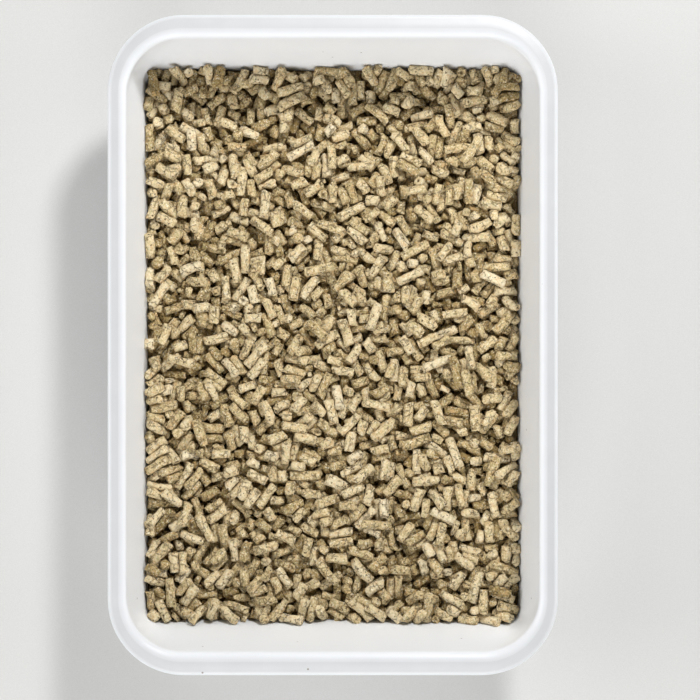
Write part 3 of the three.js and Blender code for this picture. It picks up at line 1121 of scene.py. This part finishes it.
@dataclass(frozen=True)
class PressedFibre(Finish):
    """Pressed plant fibre: tan, matt and mottled, with flecks and a tone for each pellet, with pits, cracks
    and hollowed ends darkened as painted shade, and, if asked, painted shade all over.
    """

    scale: float = 680.0
    dark: tuple = colour(152, 128, 78)
    middle: tuple = colour(227, 205, 158)
    light: tuple = colour(241, 225, 190)
    warm: tuple = colour(212, 174, 122)
    olive: tuple = colour(180, 170, 122)
    # The colour of painted shade in pits, cracks and hollowed ends.
    recess_shade: tuple = colour(84, 64, 34)
    fleck: tuple = colour(252, 246, 224)
    # How strongly pits and cracks are darkened, as painted shade.
    pits: float = 0.85
    cracks: float = 0.6
    flecks: float = 0.55
    hues: float = 300.0
    roughness: float = 0.88
    sheen: float = 0.25
    relief: float = 0.9 * MM
    own_grain: bool = True
    # Share of painted shade laid over the whole surface.
    shade: float = 0.0

    def material(self, mottling: bpy.types.NodeTree) -> bpy.types.Material:
        """Makes the material.

        Args:
            mottling: the shared mottling.

        Returns:
            The material.
        """
        made, graph, place, spots = self.begun(mottling, "grain" if self.own_grain else "")
        uneven = graph.math("ADD", graph.math("MULTIPLY", spots["Broad"], 0.5), spots["Middle"])
        uneven = graph.math("ADD", uneven, spots["Fine"])
        # The tone holds each pellet's random tone and its painted shade.
        level = graph.math("ADD", graph.math("SUBTRACT", uneven, 1.25), self.value(graph, "tone"))
        ramp = graph.add("ShaderNodeValToRGB", {"Fac": level})
        stops = ramp.color_ramp.elements
        stops[0].position, stops[0].color = 0.05, self.dark
        stops[1].position, stops[1].color = 0.95, self.light
        stops.new(0.5).color = self.middle
        hue = graph.noise(place, self.hues, 2.0)
        layers = [
            (graph.remap(hue, 0.54, 0.7, 0.0, 0.6), self.warm),
            (graph.remap(hue, 0.3, 0.46, 0.5, 0.0), self.olive),
            (graph.math("MULTIPLY", spots["Flecks"], self.flecks), self.fleck),
            # Painted shade in pits and cracks.
            (graph.math("MULTIPLY", spots["Pits"], self.pits), self.recess_shade),
            (graph.math("MULTIPLY", spots["Cracks"], self.cracks), self.recess_shade),
        ]
        if self.own_grain:
            # Painted shade in the middles of hollowed ends.
            layers.append((graph.remap(self.value(graph, "hollow_shade"), 0.25, 0.8, 0.0, 0.9), self.recess_shade))
        # Painted shade all over; only the core's material uses it, for the core that shows between the
        # pellets.
        if self.shade:
            layers.append((self.shade, self.recess_shade))
        relief = graph.math("ADD", spots["Fine"], graph.math("MULTIPLY", spots["Middle"], 1.6))
        hollows = graph.math("ADD", spots["Pits"], spots["Cracks"])
        height = graph.math("SUBTRACT", relief, graph.math("MULTIPLY", hollows, 0.8))
        inputs = {
            "Base Color": graph.layered(ramp.outputs["Color"], layers),
            "Roughness": self.roughness,
            "Normal": graph.bump(height, 1.0, self.relief),
            "Specular IOR Level": self.sheen,
        }
        self.shaded(graph, inputs)
        return made


@dataclass(frozen=True)
class MouldedPlastic(Finish):
    """White moulded plastic: satin, very slightly uneven, with painted shade on the rim's top, a patchy tan
    tint low on the walls and a few specks.
    """

    name: str = "white_plastic"
    scale: float = 160.0
    base: tuple = (0.89, 0.917, 0.953, 1.0)
    # The grey that the painted shade darkens the plastic towards.
    painted_shade: tuple = (0.455, 0.461, 0.47, 1.0)
    # A patchy tan tint low on the walls, full below one height and gone above another, that also roughens
    # them.
    low_tint: tuple = colour(196, 178, 140)
    low_tint_share: float = 0.32
    tint_full_below: float = 41 * MM
    tint_gone_above: float = 66 * MM
    speck: tuple = colour(84, 66, 44)
    speck_cells: float = 70.0
    speck_share: float = 0.8
    roughness: float = 0.42
    refraction: float = 1.49
    relief: float = 0.08 * MM

    def material(self, mottling: bpy.types.NodeTree) -> bpy.types.Material:
        """Makes the material.

        Args:
            mottling: the shared mottling.

        Returns:
            The material.
        """
        made, graph, place, spots = self.begun(mottling)
        height = graph.add("ShaderNodeSeparateXYZ", {0: place}).outputs["Z"]
        # The tint: darker and tanner towards the litter, in noisy patches.
        inside = graph.remap(height, self.tint_full_below, self.tint_gone_above, 1.0, 0.0)
        patches = graph.remap(graph.noise(place, 900.0, 4.0, 0.7), 0.5, 0.75)
        tinted = graph.math("MULTIPLY", graph.math("MULTIPLY", inside, patches), self.low_tint_share)
        # Painted shade: each point is darkened towards the grey by the share it holds, evened out a little by
        # broad noise.
        even = graph.remap(spots["Broad"], 0.2, 0.6, 0.95, 1.0)
        shade_share = graph.math("MULTIPLY", self.value(graph, "painted_shade"), even)
        layers = [(shade_share, self.painted_shade), (tinted, self.low_tint), (self.specks(graph, place), self.speck)]
        rough = graph.remap(spots["Fine"], 0.3, 0.7, self.roughness - 0.05, self.roughness + 0.07)
        rough = graph.math("ADD", rough, graph.math("MULTIPLY", tinted, 0.5))
        inputs = {
            "Base Color": graph.layered(self.base, layers),
            "Roughness": rough,
            "Normal": graph.bump(graph.noise(place, 1400.0, 2.0), 0.25, self.relief),
            "IOR": self.refraction,
        }
        self.shaded(graph, inputs)
        return made

    def specks(self, graph: Graph, place: Socket) -> Socket:
        """Rare small dark specks: the middles of a few of many random cells.

        Args:
            graph: the material's graph.
            place: where on the tray.

        Returns:
            How much of the speck's colour shows, 0 outside the specks.
        """
        cells = graph.add("ShaderNodeTexVoronoi", {"Vector": place, "Scale": self.speck_cells})
        chosen = graph.remap(cells.outputs["Color"], 0.74, 0.75)
        near = graph.remap(cells.outputs["Distance"], 0.035, 0.06, 1.0, 0.0)
        return graph.math("MULTIPLY", graph.math("MULTIPLY", chosen, near), self.speck_share)


@dataclass(frozen=True)
class PaleFloor(Finish):
    """A plain pale tabletop with a light grain."""

    name: str = "pale_floor"
    scale: float = 400.0
    base: tuple = colour(190, 190, 188)
    grain: tuple = colour(183, 183, 181)
    roughness: float = 0.75

    def material(self, mottling: bpy.types.NodeTree) -> bpy.types.Material:
        """Makes the material.

        Args:
            mottling: the shared mottling.

        Returns:
            The material.
        """
        made, graph, _, spots = self.begun(mottling)
        base = graph.layered(self.base, [(graph.remap(spots["Fine"], 0.3, 0.7), self.grain)])
        self.shaded(graph, {"Base Color": base, "Roughness": self.roughness})
        return made


# Studio


@dataclass
class Studio:
    """The floor, the lights and the camera."""

    floor_half: float = 3.0
    floor_gap: float = 0.2 * MM
    camera_height: float = 1.31
    lens: float = 92.9
    shift_x: float = 17.25 / 700
    shift_y: float = -5.0 / 700
    world: float = 0.07
    aim: tuple = (0.0, 0.0, 0.05)
    lamps: tuple = (
        ("key_softbox", (0.42, 1.0, 1.25), 22.5, 0.22),
        ("low_back_softbox", (0.0, 1.74, 0.63), 5.0, 0.9),
        ("low_front_softbox", (0.0, -1.74, 0.63), 17.0, 0.9),
        ("low_right_softbox", (1.74, 0.0, 0.63), 13.0, 0.9),
        ("low_left_softbox", (-1.74, 0.0, 0.63), 15.0, 0.9),
        ("high_front_softbox", (0.0, -1.24, 1.37), 13.0, 0.9),
        ("high_left_softbox", (-1.24, 0.0, 1.37), 7.0, 0.9),
    )

    def floor(self) -> bpy.types.Object:
        """Makes the floor just under the tray."""
        side = self.floor_half
        corners = np.array([(-side, -side, 0), (side, -side, 0), (side, side, 0), (-side, side, 0)], float)
        floor = mesh_object("floor", corners - self.floor_gap * UP, np.array([(0, 1, 2, 3)]))
        return floor

    def lamp(self, name: str, place: tuple, power: float, size: float) -> None:
        """Adds a square soft lamp that faces the tray.

        Args:
            name: the lamp's name.
            place: where it hangs.
            power: its power in watts.
            size: its side.
        """
        data = bpy.data.lights.new(name, "AREA")
        data.energy, data.size = power, size
        lamp = bpy.data.objects.new(name, data)
        lamp.location = place
        lamp.rotation_euler = (Vector(self.aim) - Vector(place)).to_track_quat("-Z", "Y").to_euler()
        bpy.context.scene.collection.objects.link(lamp)

    def light(self) -> None:
        """Hangs the lamps in a soft even white world."""
        for lamp in self.lamps:
            self.lamp(*lamp)
        world = bpy.data.worlds.new("studio")
        world.use_nodes = True
        background = world.node_tree.nodes["Background"]
        background.inputs["Color"].default_value = (1.0, 1.0, 1.0, 1.0)
        background.inputs["Strength"].default_value = self.world
        bpy.context.scene.world = world

    def camera(self) -> None:
        """Hangs the camera straight over the tray, with the tray where the photograph has it."""
        data = bpy.data.cameras.new("overhead")
        data.lens, data.sensor_width = self.lens, 36.0
        data.shift_x, data.shift_y = self.shift_x, self.shift_y
        camera = bpy.data.objects.new("overhead", data)
        camera.location = (0, 0, self.camera_height)
        bpy.context.scene.collection.objects.link(camera)
        bpy.context.scene.camera = camera
        bpy.context.scene.view_settings.view_transform = "Standard"


def main() -> None:
    """Builds the tray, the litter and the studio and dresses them."""
    logging.basicConfig(level=logging.INFO, format="%(message)s")
    mottling = Mottling().group()
    tray = Tray()
    moulding = tray.build()
    moulding.data.materials.append(MouldedPlastic().material(mottling))
    log.info("tray: %d triangles", len(moulding.data.polygons))
    fibre = PressedFibre("pressed_fibre").material(mottling)
    # The core's material, darkened all over as painted shade for the gaps between the pellets.
    crumbs = PressedFibre("shaded_core_fibre", own_grain=False, shade=0.55).material(mottling)
    for piece in Litter(tray).build():
        piece.data.materials.append(crumbs if piece.name == "litter_core" else fibre)
        log.info("%s: %d triangles", piece.name, len(piece.data.polygons))
    studio = Studio()
    studio.floor().data.materials.append(PaleFloor().material(mottling))
    studio.light()
    studio.camera()


if __name__ == "__main__":
    main()
